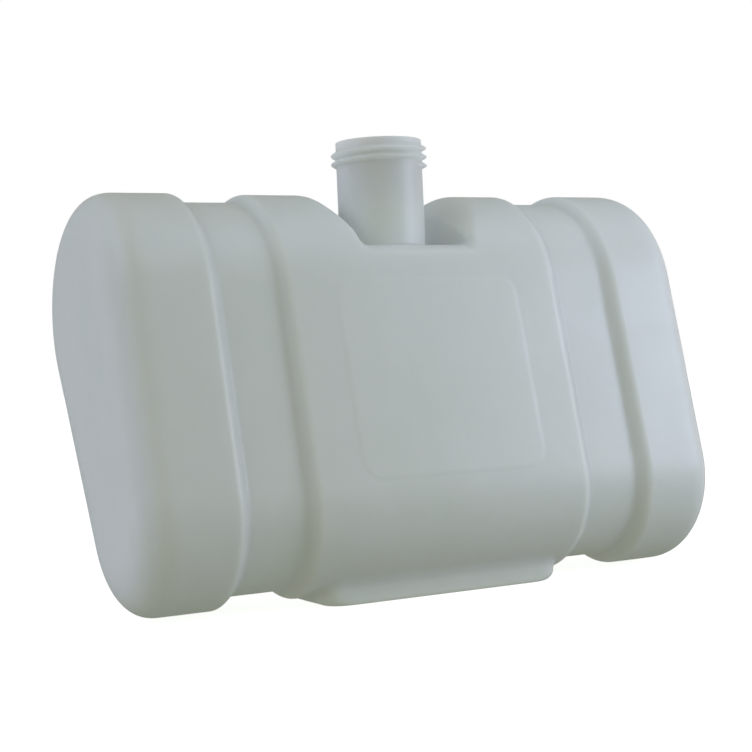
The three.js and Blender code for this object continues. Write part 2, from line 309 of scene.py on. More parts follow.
def skin(field, low, high, step, rounds):
    """The field's zero surface as points and quads that face its positive side."""
    low, high = np.array(low, float), np.array(high, float)
    counts = np.ceil((high - low) / step).astype(int) + 1
    axes = [low[a] + step * np.arange(counts[a]) for a in range(3)]
    values = np.empty(counts, np.float32)
    for start in range(0, counts[0], SLAB):
        slab = np.meshgrid(axes[0][start:start + SLAB], axes[1], axes[2], indexing="ij")
        values[start:start + SLAB] = field(*[s.astype(np.float32) for s in slab])
    inside = values < 0
    corners = list(itertools.product((0, 1), repeat=3))
    full = sum(
        inside[i:counts[0] - 1 + i, j:counts[1] - 1 + j, k:counts[2] - 1 + k].astype(np.int8)
        for i, j, k in corners
    )
    mixed = (full > 0) & (full < 8)
    number = np.full(mixed.shape, -1, np.int32)
    cells = np.argwhere(mixed)
    number[mixed] = np.arange(len(cells))
    total = np.zeros((len(cells), 3))
    crossings = np.zeros(len(cells))
    for axis in range(3):
        for corner in corners:
            if corner[axis]:
                continue
            start = cells + corner
            end = start + np.eye(3, dtype=int)[axis]
            a, b = values[tuple(start.T)], values[tuple(end.T)]
            crosses = (a < 0) != (b < 0)
            part = np.where(crosses, a / np.where(crosses, a - b, 1), 0)
            at = start.astype(float)
            at[:, axis] += part
            total += np.where(crosses[:, None], at, 0)
            crossings += crosses
    points = low + step * total / crossings[:, None]
    quads = []
    for axis in range(3):
        u, v = np.eye(3, dtype=int)[(axis + 1) % 3], np.eye(3, dtype=int)[(axis + 2) % 3]
        first = np.take(inside, range(counts[axis] - 1), axis)
        last = np.take(inside, range(1, counts[axis]), axis)
        edges = np.argwhere(first != last)
        ring = [number[tuple((edges + s).T)] for s in (-u - v, -v, 0 * u, -u)]
        ring = np.stack(ring, 1)
        outward = first[tuple(edges.T)]
        quads.append(np.where(outward[:, None], ring, ring[:, ::-1]))
    quads = np.concatenate(quads)
    points = settle(field, points, 3, step)
    points = even_out(field, points, quads, rounds, step)
    return settle(field, points, 2, step), quads


def mesh_of(name, points, faces):
    """A smooth-shaded mesh from points in millimetres and arrays of triangles or quads."""
    faces = [np.asarray(f, np.int32) for f in faces if len(f)]
    sizes = np.concatenate([np.full(len(f), f.shape[1]) for f in faces])
    corners = np.concatenate([f.ravel() for f in faces])
    mesh = bpy.data.meshes.new(name)
    mesh.vertices.add(len(points))
    mesh.vertices.foreach_set("co", (np.asarray(points) * MM).astype(np.float32).ravel())
    mesh.loops.add(len(corners))
    mesh.loops.foreach_set("vertex_index", corners)
    mesh.polygons.add(len(sizes))
    starts = np.concatenate([[0], np.cumsum(sizes)[:-1]])
    mesh.polygons.foreach_set("loop_start", starts.astype(np.int32))
    mesh.update(calc_edges=True)
    mesh.validate()
    mesh.shade_smooth()
    return mesh


def place(name, mesh, slot, material, replaced):
    """Puts a piece in the scene, on the fixed body, in place of a CAD node."""
    piece = bpy.data.objects.new(name, mesh)
    bpy.context.scene.collection.objects.link(piece)
    mesh.materials.append(material)
    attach(piece, "root")
    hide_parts(replaced)
    return piece


# ---- Turned and threaded shapes ----

# A threaded wall's plain heights stay this far clear of the thread.
CLEAR = 0.4


def wound(columns, low, high, ridge, pitch, turns, last, start, fade, radius, plain):
    """A threaded round wall: (points, triangles, its lowest ring, its highest ring).

    Each column of points stands at one angle. Its heights are those of every turn of the ridge
    that passes it, and the plain heights that lie clear of them. The thread ends at the height
    last, and starts at the angle start. The wall's radius is a function of height.
    """
    points, stacks = [], []
    for column in range(columns):
        turn = column / columns
        heights = []
        for whole in range(math.ceil(turns) + 1):
            wound_on = whole + turn
            if not 0 < wound_on < turns:
                continue
            share = min(1.0, wound_on / fade, (turns - wound_on) / fade)
            share = share * share * (3 - 2 * share)
            line = last - pitch * (turns - wound_on)
            heights += [(line + h, radius(line + h) + r * share) for h, r in ridge]
        heights = [h for h in heights if low < h[0] < high]
        if heights:
            bottom, top = heights[0][0] - CLEAR, heights[-1][0] + CLEAR
            heights += [(z, radius(z)) for z in plain if not bottom < z < top]
        else:
            heights += [(z, radius(z)) for z in plain]
        heights = sorted([(low, radius(low)), *heights, (high, radius(high))])
        stack = []
        angle = start + 2 * math.pi * turn
        for z, r in heights:
            stack.append(len(points))
            points.append((r * math.cos(angle), r * math.sin(angle), z))
        stacks.append(stack)
    triangles = []
    for column, left in enumerate(stacks):
        right = stacks[(column + 1) % columns]
        i = j = 0
        while i < len(left) - 1 or j < len(right) - 1:
            rise_left = i < len(left) - 1 and (
                j == len(right) - 1 or points[left[i + 1]][2] <= points[right[j + 1]][2]
            )
            if rise_left:
                triangles.append((left[i], right[j], left[i + 1]))
                i += 1
            else:
                triangles.append((left[i], right[j], right[j + 1]))
                j += 1
    return points, triangles, [s[0] for s in stacks], [s[-1] for s in stacks]


def turned(points, faces, ring, outline, columns, start=0.0):
    """Adds rings of an outline of (radius, height) after a ring, and returns the last ring."""
    for radius, height in outline:
        first = len(points)
        for column in range(columns):
            angle = start + 2 * math.pi * column / columns
            points.append((radius * math.cos(angle), radius * math.sin(angle), height))
        new = list(range(first, first + columns))
        for column in range(columns):
            right = (column + 1) % columns
            faces.append((ring[column], ring[right], new[right], new[column]))
        ring = new
    return ring


def joined(ring, other):
    """Quads between two rings of the same count."""
    pairs = zip(ring, ring[1:] + ring[:1], other[1:] + other[:1], other)
    return [tuple(corners) for corners in pairs]


def swept(columns, outline_at):
    """A ring-shaped solid. outline_at(angle) is a closed anticlockwise (radius, height) outline."""
    points, faces = [], []
    for column in range(columns):
        angle = 2 * math.pi * column / columns
        points += [(r * math.cos(angle), r * math.sin(angle), h) for r, h in outline_at(angle)]
    count = len(points) // columns
    for column in range(columns):
        here, there = column * count, (column + 1) % columns * count
        for k in range(count):
            after = (k + 1) % count
            faces.append((here + k, there + k, there + after, here + after))
    return points, faces


def eased(outline, radius, steps=3):
    """A closed outline with each corner turned into a small arc."""
    outline = [tuple(p) for p in outline]
    made = []
    neighbours = zip(outline[-1:] + outline[:-1], outline, outline[1:] + outline[:1])
    for before, point, after in neighbours:
        p = Vector(point)
        to_a, to_b = Vector(before) - p, Vector(after) - p
        cut = min(radius, to_a.length * 0.45, to_b.length * 0.45)
        a, b = p + to_a.normalized() * cut, p + to_b.normalized() * cut
        for step in range(steps + 1):
            t = step / steps
            made.append(tuple(a * (1 - t) ** 2 + p * 2 * t * (1 - t) + b * t * t))
    return made


# ---- Materials ----

# How far light wanders in the plastic, in metres: in the tank, and in the neck's upper part.
SCATTER = 0.007
NECK_SCATTER = 0.035
# Where the neck is thin, in millimetres: fading out over these radii, and in over these heights.
THIN_RADII = (23.0, 25.0)
THIN_HEIGHTS = (174.0, 198.0)
# How far the neck's upper part is painted paler, as painted light for the light that shines through its
# thin wall.
NECK_PAINTED_GLOW = 0.8


def material(name, colour, roughness, **sockets):
    """A new material, its node tree and its shader. Sockets are named with _ for spaces."""
    made = bpy.data.materials.new(name)
    made.use_nodes = True
    shader = made.node_tree.nodes["Principled BSDF"]
    shader.inputs["Base Color"].default_value = (*colour, 1)
    shader.inputs["Roughness"].default_value = roughness
    for socket, value in sockets.items():
        shader.inputs[socket.replace("_", " ")].default_value = value
    return made, made.node_tree, shader


def node(tree, kind, inputs=None, **settings):
    """A node whose inputs are linked to sockets or set to values."""
    made = tree.nodes.new(kind)
    for key, value in settings.items():
        setattr(made, key, value)
    for key, value in (inputs or {}).items():
        if isinstance(value, bpy.types.NodeSocket):
            tree.links.new(value, made.inputs[key])
        else:
            made.inputs[key].default_value = value
    return made


def noise(tree, where, scale, detail=3.0, roughness=0.5, stretch=None):
    """A noise pattern over the object's own space, in features per metre."""
    if stretch:
        where = node(tree, "ShaderNodeMapping", {"Vector": where, "Scale": stretch}).outputs["Vector"]
    made = node(tree, "ShaderNodeTexNoise",
                {"Vector": where, "Scale": scale, "Detail": detail, "Roughness": roughness})
    return made.outputs["Fac"]


def spread(tree, value, low, high, start=0.3, end=0.7):
    """Takes a value from the range start to end onto the range low to high."""
    made = node(tree, "ShaderNodeMapRange",
                {"Value": value, "From Min": start, "From Max": end, "To Min": low, "To Max": high})
    return made.outputs["Result"]


def sums(tree, kind, a, b):
    """One step of arithmetic on two values."""
    made = node(tree, "ShaderNodeMath", {0: a, 1: b}, operation=kind)
    return made.outputs["Value"]


def blended(tree, share, first, second):
    """A colour between two, either of which may come from a node."""
    made = node(tree, "ShaderNodeMix", data_type="RGBA")
    for socket, value in zip((made.inputs[0], made.inputs[6], made.inputs[7]), (share, first, second)):
        if isinstance(value, bpy.types.NodeSocket):
            tree.links.new(value, socket)
        else:
            socket.default_value = value if isinstance(value, float) else (*value, 1)
    return made.outputs[2]


def bumped(tree, shader, layers):
    """Stacks bumps on the shader. Each layer is a height pattern and its depth in millimetres."""
    normal = None
    for pattern, depth in layers:
        inputs = {"Height": pattern, "Distance": depth * MM, "Strength": 1.0}
        if normal:
            inputs["Normal"] = normal
        normal = node(tree, "ShaderNodeBump", inputs).outputs["Normal"]
    tree.links.new(normal, shader.inputs["Normal"])


def on_neck(tree, where):
    """1 on the neck's upper part, whose thinner wall lets more light through, and 0 elsewhere."""
    axis = (NECK_X * MM, NECK_Y * MM, 0)
    off = node(tree, "ShaderNodeVectorMath", {0: where, 1: axis}, operation="SUBTRACT")
    off = node(tree, "ShaderNodeVectorMath", {0: off.outputs[0], 1: (1, 1, 0)}, operation="MULTIPLY")
    away = node(tree, "ShaderNodeVectorMath", {0: off.outputs[0]}, operation="LENGTH")
    height = node(tree, "ShaderNodeSeparateXYZ", {0: where}).outputs["Z"]
    near = spread(tree, away.outputs["Value"], 1.0, 0.0, *(r * MM for r in THIN_RADII))
    high = spread(tree, height, 0.0, 1.0, *(z * MM for z in THIN_HEIGHTS))
    return sums(tree, "MULTIPLY", near, high)


def natural_plastic():
    """Blow-moulded natural polyethylene: milky, waxy, slightly uneven, with light scuffs."""
    made, tree, shader = material(
        "natural_polyethylene", (0.71, 0.735, 0.72), 0.38,
        Subsurface_Weight=0.9, Subsurface_Scale=SCATTER, IOR=1.5,
    )
    shader.inputs["Subsurface Radius"].default_value = (1.0, 1.0, 0.9)
    where = node(tree, "ShaderNodeTexCoord").outputs["Object"]
    broad = noise(tree, where, 16.0, 3.0, 0.5)
    clouds = noise(tree, where, 55.0, 4.0, 0.55)
    flow = noise(tree, where, 60.0, 3.0, 0.6, (1.0, 1.0, 0.14))
    grain = noise(tree, where, 900.0, 3.0, 0.6)
    scuffs = noise(tree, where, 420.0, 4.0, 0.7, (0.05, 1.0, 0.6))
    # Broad drifts of tone, streaks down the flow of the plastic, and faint clouds.
    colour = blended(tree, spread(tree, broad, 0.0, 1.0), (0.695, 0.730, 0.705), (0.722, 0.745, 0.733))
    colour = blended(tree, spread(tree, flow, 0.0, 0.35, 0.35, 0.75), colour, (0.738, 0.758, 0.745))
    colour = blended(tree, spread(tree, clouds, 0.0, 0.25, 0.45, 0.8), colour, (0.672, 0.708, 0.675))
    # Light scratches; and convex edges made paler, partly as rubbed wear and partly as a painted
    # highlight along the groove edges.
    scratch = spread(tree, scuffs, 0.0, 1.0, 0.66, 0.74)
    colour = blended(tree, sums(tree, "MULTIPLY", scratch, 0.25), colour, (0.82, 0.84, 0.83))
    edge = node(tree, "ShaderNodeNewGeometry").outputs["Pointiness"]
    colour = blended(tree, spread(tree, edge, 0.0, 0.3, 0.53, 0.6), colour, (0.78, 0.80, 0.79))
    neck = on_neck(tree, where)
    # The neck's upper part is painted paler: painted light standing in for the light that shines through
    # its thin wall.
    painted_glow = sums(tree, "MULTIPLY", neck, NECK_PAINTED_GLOW)
    colour = blended(tree, painted_glow, colour, (0.785, 0.810, 0.790))
    tree.links.new(colour, shader.inputs["Base Color"])
    worn = sums(tree, "ADD", spread(tree, clouds, 0.34, 0.44), sums(tree, "MULTIPLY", scratch, 0.12))
    tree.links.new(worn, shader.inputs["Roughness"])
    scatter = spread(tree, neck, SCATTER, NECK_SCATTER, 0.0, 1.0)
    tree.links.new(scatter, shader.inputs["Subsurface Scale"])
    bumped(tree, shader, [(broad, 1.1), (clouds, 0.14), (flow, 0.1), (grain, 0.008), (scratch, -0.006)])
    return made


def turned_brass():
    """Turned brass with a dulled, brownish bloom, fine tool rings and small dents."""
    made, tree, shader = material("dulled_brass", (0.58, 0.42, 0.19), 0.34, Metallic=1.0)
    where = node(tree, "ShaderNodeTexCoord").outputs["Object"]
    bloom = noise(tree, where, 130.0, 5.0, 0.62)
    specks = noise(tree, where, 1100.0, 3.0, 0.6)
    lines = noise(tree, where, 1500.0, 2.0, 0.5, (0.05, 1.0, 0.6))
    dulled = spread(tree, bloom, 0.0, 1.0, 0.35, 0.65)
    colour = blended(tree, dulled, (0.66, 0.49, 0.235), (0.44, 0.30, 0.13))
    colour = blended(tree, spread(tree, specks, 0.0, 0.6, 0.6, 0.75), colour, (0.28, 0.19, 0.09))
    edge = node(tree, "ShaderNodeNewGeometry").outputs["Pointiness"]
    colour = blended(tree, spread(tree, edge, 0.0, 0.8, 0.52, 0.6), colour, (0.82, 0.65, 0.36))
    tree.links.new(colour, shader.inputs["Base Color"])
    tree.links.new(spread(tree, bloom, 0.26, 0.48), shader.inputs["Roughness"])
    bumped(tree, shader, [(bloom, 0.03), (lines, 0.008), (specks, 0.01)])
    return made


def black_rubber():
    """Matt black rubber with a little dust."""
    made, tree, shader = material("matt_epdm", (0.02, 0.02, 0.022), 0.75)
    where = node(tree, "ShaderNodeTexCoord").outputs["Object"]
    dust = noise(tree, where, 240.0, 4.0, 0.6)
    grain = noise(tree, where, 2400.0, 3.0, 0.6)
    dusty = spread(tree, dust, 0.0, 1.0, 0.4, 0.75)
    colour = blended(tree, dusty, (0.018, 0.018, 0.019), (0.055, 0.054, 0.05))
    tree.links.new(colour, shader.inputs["Base Color"])
    tree.links.new(spread(tree, dust, 0.66, 0.86), shader.inputs["Roughness"])
    bumped(tree, shader, [(dust, 0.03), (grain, 0.012)])
    return made


def white_nylon():
    """Off-white nylon, slightly yellowed in patches."""
    made, tree, shader = material("white_nylon", (0.7, 0.69, 0.66), 0.5, Subsurface_Weight=0.08)
    shader.inputs["Subsurface Scale"].default_value = 0.002
    where = node(tree, "ShaderNodeTexCoord").outputs["Object"]
    tone = noise(tree, where, 180.0, 4.0, 0.6)
    grain = noise(tree, where, 1800.0, 3.0, 0.6)
    colour = blended(tree, spread(tree, tone, 0.0, 1.0), (0.72, 0.71, 0.68), (0.62, 0.60, 0.55))
    tree.links.new(colour, shader.inputs["Base Color"])
    tree.links.new(spread(tree, tone, 0.44, 0.6), shader.inputs["Roughness"])
    bumped(tree, shader, [(tone, 0.04), (grain, 0.01)])
    return made


def pale_floor():
    """An almost white floor that glows a little, so that it meets the background without a line."""
    made, tree, shader = material("pale_floor", (0.9, 0.9, 0.9), 0.7, Emission_Strength=0.75)
    shader.inputs["Emission Color"].default_value = (1, 1, 1, 1)
    where = node(tree, "ShaderNodeTexCoord").outputs["Object"]
    tone = noise(tree, where, 3.0, 3.0)
    colour = blended(tree, spread(tree, tone, 0.0, 1.0), (0.89, 0.89, 0.89), (0.91, 0.91, 0.91))
    tree.links.new(colour, shader.inputs["Base Color"])
    return made


PLASTIC = natural_plastic()
BRASS = turned_brass()
RUBBER = black_rubber()
NYLON = white_nylon()

# ---- The vessel ----

NECK_COLUMNS = 240
HOLE_COLUMNS = 64
# Heights of the neck's plain rings, and how far below the rim its bore's first ring lies.
PLAIN_STEP = 3
PLAIN_COUNT = 15
BORE_START = 6
# The skins' finest and usual spacing, and the boxes that hold them.
FINE_STEP = 1.0
COARSE_STEP = 2.0
OUTER_LOW = (-TANK_LENGTH / 2 - 3, -47, -3)
OUTER_HIGH = (TANK_LENGTH / 2 + 3, 92, 190)
INNER_LOW = (-TANK_LENGTH / 2 - 1, -44, -1)
INNER_HIGH = (TANK_LENGTH / 2 + 1, 89, 187)
# The skins are opened a little wider than what passes through them, and the gap is then filled.
SEAM = 0.6
BORE_SEAM = 2.0
NECK_SEAM_REACH = 30
HOLE_SEAM_REACH = 16
UP = np.array([0.0, 0.0, 1.0])
OUT_OF_BACK = np.array([0.0, math.cos(BACK_ANGLE), math.sin(BACK_ANGLE)])
ALONG_BACK = np.cross(OUT_OF_BACK, [1.0, 0.0, 0.0])


def on_back(points, place_at):
    """Takes points from a connector's own frame, whose z is straight out of the back wall."""
    points = np.array(points)
    level = points[:, :1] * [1.0, 0.0, 0.0] + points[:, 1:2] * ALONG_BACK
    return level + points[:, 2:] * OUT_OF_BACK + place_at


def opened(points, quads, centre, axis, radius):
    """Leaves out the quads near an axis through centre."""
    offset = points - centre
    along = offset @ axis
    near = np.linalg.norm(offset - along[:, None] * axis, axis=1) < radius
    near &= np.abs(along) < radius
    return quads[~near[quads].any(1)]


def open_edges(quads, points, centre, radius):
    """The mesh's open edges near a centre."""
    sides = np.concatenate([quads[:, [a, (a + 1) % 4]] for a in range(4)])
    sides = np.sort(sides, 1)
    code = sides[:, 0].astype(np.int64) * (quads.max() + 1) + sides[:, 1]
    _, first, count = np.unique(code, return_index=True, return_counts=True)
    sides = sides[first[count == 1]]
    return sides[np.linalg.norm(points[sides[:, 0]] - centre, axis=1) < radius]


def filled(points, edges, facing):
    """Triangles across the flat space between closed rings of edges."""
    edit = bmesh.new()
    names = [int(n) for n in np.unique(edges)]
    spots = {n: edit.verts.new(points[n]) for n in names}
    back = {spot: n for n, spot in spots.items()}
    made = [edit.edges.new((spots[int(a)], spots[int(b)])) for a, b in edges]
    bmesh.ops.triangle_fill(edit, edges=made, use_beauty=True, normal=Vector(facing))
    triangles = []
    for face in edit.faces:
        face.normal_update()
        corners = [back[v] for v in face.verts]
        triangles.append(corners if face.normal.dot(Vector(facing)) > 0 else corners[::-1])
    edit.free()
    return triangles


def neck_radius(z):
    """The neck's outer radius, which grows a little towards its foot."""
    return NECK_RADIUS + NECK_TAPER * (NECK_TOP - z) / (NECK_TOP - SADDLE_FLOOR)


def arc(radius, height, size, angles, steps=5):
    """Points round a small corner circle, in (radius, height)."""
    first, last = angles
    turns = [first + (last - first) * n / steps for n in range(steps + 1)]
    return [(radius + size * math.cos(a), height + size * math.sin(a)) for a in turns]


def neck_tube():
    """The neck from its fillet on the saddle's floor, up over its lip and down its bore.

    Gives its points, triangles and quads, and its lowest ring outside and inside.
    """
    quarter = math.pi / 2
    low = SADDLE_FLOOR + NECK_FILLET
    high = NECK_TOP - LIP_ROUNDING
    base = SADDLE_FLOOR - WALL
    plain = [low + PLAIN_STEP * n for n in range(1, PLAIN_COUNT + 1)]
    points, triangles, bottom, top = wound(
        NECK_COLUMNS, low, high, NECK_RIDGE, THREAD_PITCH, THREAD_TURNS,
        NECK_TOP - THREAD_LAST_DROP, THREAD_START, THREAD_FADE, neck_radius, plain,
    )
    foot_radius = neck_radius(SADDLE_FLOOR) + NECK_FILLET
    foot = arc(foot_radius, low, NECK_FILLET, (2 * quarter, 3 * quarter), 6)[1:]
    lip = arc(neck_radius(NECK_TOP) - LIP_ROUNDING, high, LIP_ROUNDING, (0, quarter))[1:]
    lip += arc(NECK_BORE + LIP_ROUNDING, high, LIP_ROUNDING, (quarter, 2 * quarter))
    bore = [(NECK_BORE, z) for z in np.linspace(NECK_TOP - BORE_START, base + 2 * BORE_FILLET, 10)]
    fillet_turn = (2 * quarter, 3 * quarter)
    bore += arc(NECK_BORE + BORE_FILLET, base + BORE_FILLET, BORE_FILLET, fillet_turn)
    faces, below = [], []
    inner = turned(points, faces, top, lip + bore, NECK_COLUMNS, THREAD_START)
    outer = turned(points, below, bottom, foot, NECK_COLUMNS, THREAD_START)
    faces += [face[::-1] for face in below]
    return np.array(points) + [NECK_X, NECK_Y, 0], triangles, faces, outer, inner


def circle(radius, height, columns):
    """A ring of points round the z axis."""
    angles = [2 * math.pi * n / columns for n in range(columns)]
    return [(radius * math.cos(a), radius * math.sin(a), height) for a in angles]


def ring_edges(ring):
    """The edges of a closed ring."""
    return [(ring[n - 1], ring[n]) for n in range(len(ring))]


def vessel_mesh():
    """One closed skin: outside, neck, bore, inside, and the two holes through the back wall."""
    step = FINE_STEP
    outer, outer_quads = skin(vessel, OUTER_LOW, OUTER_HIGH, step, 3)
    inner, inner_quads = skin(cavity, INNER_LOW, INNER_HIGH, COARSE_STEP, 2)
    neck_foot = np.array([NECK_X, NECK_Y, SADDLE_FLOOR])
    neck_inside = neck_foot - WALL * UP
    holes = [np.array(place_at) for place_at in CONNECTORS.values()]
    outer_quads = opened(outer, outer_quads, neck_foot, UP, NECK_RADIUS + NECK_FILLET + SEAM)
    inner_quads = opened(inner, inner_quads, neck_inside, UP, NECK_BORE + BORE_SEAM)
    for hole in holes:
        through = hole - WALL * OUT_OF_BACK
        outer_quads = opened(outer, outer_quads, hole, OUT_OF_BACK, HOLE_RADIUS + SEAM)
        inner_quads = opened(inner, inner_quads, through, OUT_OF_BACK, HOLE_RADIUS + SEAM)
    tube, triangles, quads, outer_ring, inner_ring = neck_tube()
    points = [outer, inner, tube]
    inner_quads = inner_quads[:, ::-1] + len(outer)
    shift = len(outer) + len(inner)
    triangles = [tuple(n + shift for n in face) for face in triangles]
    quads = [tuple(n + shift for n in face) for face in quads]
    seams = [
        (outer_quads, neck_foot, NECK_SEAM_REACH, [n + shift for n in outer_ring], UP),
        (inner_quads, neck_inside, NECK_SEAM_REACH, [n + shift for n in inner_ring], -UP),
    ]
    shift += len(tube)
    for hole in holes:
        rims = [circle(HOLE_RADIUS, 0, HOLE_COLUMNS), circle(HOLE_RADIUS, -WALL, HOLE_COLUMNS)]
        points.append(on_back(rims[0] + rims[1], hole))
        outside = list(range(shift, shift + HOLE_COLUMNS))
        inside = list(range(shift + HOLE_COLUMNS, shift + 2 * HOLE_COLUMNS))
        quads += joined(outside, inside)
        through = hole - WALL * OUT_OF_BACK
        seams.append((outer_quads, hole, HOLE_SEAM_REACH, outside, OUT_OF_BACK))
        seams.append((inner_quads, through, HOLE_SEAM_REACH, inside, -OUT_OF_BACK))
        shift += 2 * HOLE_COLUMNS
    points = np.concatenate(points)
    for side, centre, reach, ring, facing in seams:
        edges = [tuple(edge) for edge in open_edges(side, points, centre, reach)]
        triangles += filled(points, edges + ring_edges(ring), facing)
    faces = [outer_quads, inner_quads, np.array(triangles), np.array(quads)]
    return mesh_of("vessel_shell", points, faces)


place("vessel_shell", vessel_mesh(), "natural_plastic", PLASTIC, "vessel_body")

# ---- The hose connectors, their nuts, seals and washers ----

COLUMNS = 120
NUT_COLUMNS = 240
# Plain lengths between the flange and the threaded wall, and between that wall and the shank's end.
UNDERCUT = 0.4
RUN_OUT = 1.2
# How far below the wall's top the thread ends, how much of the wall it leaves, and its fade.
PIPE_LAST_DROP = 0.4
PIPE_LEFT_PLAIN = 0.6
PIPE_FADE = 1 / 4
# An eased corner leaves out this much, and its middle point lies this far in.
EASE = 0.6
EASE_MIDDLE = 0.18
# The nut's end faces are turned to a circle just inside its flats, and its corners are rubbed.
NUT_FACE_SHARE = 0.955
NUT_CORNER_LOSS = 0.12
NUT_LEAD_IN = 0.8


def pipe_ridge():
    """One ridge of the pipe thread, from its root: height, and how far below the shank's radius."""
    half = PIPE_PITCH / 2
    shape = [(-0.98, -1.0), (-0.8, -0.97), (-0.66, -0.82), (-0.2, -0.12), (-0.1, -0.02)]
    shape += [(0.1, -0.02), (0.2, -0.12), (0.66, -0.82), (0.8, -0.97), (0.98, -1.0)]
    return [(height * half, drop * PIPE_DEPTH) for height, drop in shape]


def connector_mesh(name, place_at):
    """Flange, threaded shank, and the barbed tail, all round one bore."""
    root = SHANK_RADIUS - PIPE_DEPTH
    low, high = FLANGE_TOP + UNDERCUT, SHANK_LENGTH - RUN_OUT
    turns = (high - low - PIPE_LEFT_PLAIN) / PIPE_PITCH
    ridge = [(h, PIPE_DEPTH + drop) for h, drop in pipe_ridge()]
    points, triangles, bottom, top = wound(
        COLUMNS, low, high, ridge, PIPE_PITCH, turns,
        high - PIPE_LAST_DROP, 0.0, PIPE_FADE, lambda z: root, [],
    )
    barb_length = (TAIL_END - SHANK_LENGTH - TAIL_PLAIN) / BARB_COUNT
    tail = [(root, SHANK_LENGTH - EASE), (root - EASE, SHANK_LENGTH)]
    tail += [(TAIL_RADIUS + 0.5, SHANK_LENGTH)]
    tail += [(TAIL_RADIUS + 0.15, SHANK_LENGTH + 0.15), (TAIL_RADIUS, SHANK_LENGTH + 0.5)]
    for barb in range(BARB_COUNT, 0, -1):
        start = TAIL_END - barb_length * barb
        step_up = [(TAIL_RADIUS, start - 0.15), (TAIL_RADIUS + 0.12, start)]
        step_up += [(BARB_RADIUS - 0.2, start + 0.62)]
        crest = [(BARB_RADIUS - 0.04, start + BARB_STEP), (BARB_RADIUS - 0.04, start + BARB_STEP + 0.25)]
        slope = [(TAIL_RADIUS + 0.1, start + barb_length - 0.45)] if barb > 1 else []
        tail += step_up + crest + slope
    bore = CONNECTOR_BORE
    end = [(TAIL_RADIUS + 0.3, TAIL_END - 0.6), (TAIL_RADIUS - 0.1, TAIL_END - 0.12)]
    end += [(TAIL_RADIUS - 0.4, TAIL_END)]
    end += [(bore + 0.5, TAIL_END), (bore + 0.15, TAIL_END - 0.12), (bore, TAIL_END - 0.5)]
    bottom_z = FLANGE_TOP - FLANGE_THICKNESS
    end += [(bore, z) for z in np.linspace(TAIL_END - 5, bottom_z + 5, 6)]
    end += [(bore, bottom_z + EASE), (bore + EASE_MIDDLE, bottom_z + EASE_MIDDLE)]
    end += [(bore + EASE, bottom_z)]
    rim = FLANGE_RADIUS
    under = [(rim - EASE, bottom_z), (rim - EASE_MIDDLE, bottom_z + EASE_MIDDLE)]
    under += [(rim, bottom_z + EASE)]
    under += [(rim, FLANGE_TOP - 0.5), (rim - 0.15, FLANGE_TOP - 0.15), (rim - 0.5, FLANGE_TOP)]
    under += [(root + 0.4, FLANGE_TOP), (root + 0.1, FLANGE_TOP + 0.1)]
    faces = []
    last = turned(points, faces, top, tail + end + under, COLUMNS)
    faces += joined(last, bottom)
    mesh = mesh_of(name, on_back(points, place_at), [np.array(triangles), np.array(faces)])
    mesh.set_sharp_from_angle(angle=math.radians(50))
    return mesh


def nut_mesh(name, place_at):
    """A hexagon with its corners turned off at 30 degrees, round a plain-ended bore."""
    low, high = NUT
    flat = NUT_ACROSS_FLATS / 2
    face_radius = flat * NUT_FACE_SHARE

    def outline(angle):
        """One column, as far out as the hexagon with slightly rounded corners reaches."""
        off = (angle + math.pi / 6) % (math.pi / 3) - math.pi / 6
        out = flat / math.cos(math.pi / 6 - abs(off))
        out = min(out, flat / math.cos(math.pi / 6) - NUT_CORNER_LOSS)
        turned_off = (out - face_radius) * math.tan(math.pi / 6)
        corner = [
            (HOLE_RADIUS + 0.7, low), (face_radius, low), (out, low + turned_off),
            (out, high - turned_off), (face_radius, high), (HOLE_RADIUS + 0.7, high),
            (HOLE_RADIUS - 0.1, high - NUT_LEAD_IN), (HOLE_RADIUS - 0.1, low + NUT_LEAD_IN),
        ]
        return eased(corner, 0.22, 2)

    points, faces = swept(NUT_COLUMNS, outline)
    mesh = mesh_of(name, on_back(points, place_at), [np.array(faces)])
    mesh.set_sharp_from_angle(angle=math.radians(35))
    return mesh


def ring_mesh(name, place_at, heights, corner, crown):
    """A flat ring with eased corners, whose outer edge may bulge by crown."""
    low, high = heights
    middle = (low + high) / 2
    outline = [(HOLE_RADIUS, low), (FLANGE_RADIUS - crown, low)]
    outline += [(FLANGE_RADIUS - crown * 0.3, (low + middle) / 2), (FLANGE_RADIUS, middle)]
    outline += [(FLANGE_RADIUS - crown * 0.3, (high + middle) / 2), (FLANGE_RADIUS - crown, high)]
    outline += [(HOLE_RADIUS, high)]
    outline = eased(outline, corner, 3)
    points, faces = swept(COLUMNS, lambda angle: outline)
    return mesh_of(name, on_back(points, place_at), [np.array(faces)])


for line, place_at in CONNECTORS.items():
    body = f"{line}_hose_connector_body"
    place(body, connector_mesh(body, place_at), "brass", BRASS, f"{line}_hose_connector")
    nut = f"{line}_hexagon_nut"
    place(nut, nut_mesh(nut, place_at), "brass", BRASS, f"{line}_back_nut")
    seal = f"{line}_seal_ring"
    mesh = ring_mesh(seal, place_at, SEAL, corner=0.4, crown=0.25)
    place(seal, mesh, "black_rubber", RUBBER, f"{line}_inner_seal")
    washer = f"{line}_washer_ring"
    mesh = ring_mesh(washer, place_at, WASHER, corner=0.3, crown=0.0)
    place(washer, mesh, "white_nylon", NYLON, f"{line}_outer_washer")

# ---- Floor, lights, camera ----

FLOOR_RADIUS = 6.0

floor_mesh = bpy.data.meshes.new("floor")
edit = bmesh.new()
bmesh.ops.create_circle(edit, cap_ends=True, segments=96, radius=FLOOR_RADIUS)
edit.to_mesh(floor_mesh)
edit.free()
floor = bpy.data.objects.new("floor", floor_mesh)
bpy.context.scene.collection.objects.link(floor)
floor_mesh.materials.append(pale_floor())
# The floor is seen and takes shadows, and the soft panels below it light the object instead of it.
floor.visible_diffuse = False
floor.visible_glossy = False
floor.visible_transmission = False
floor.visible_shadow = False


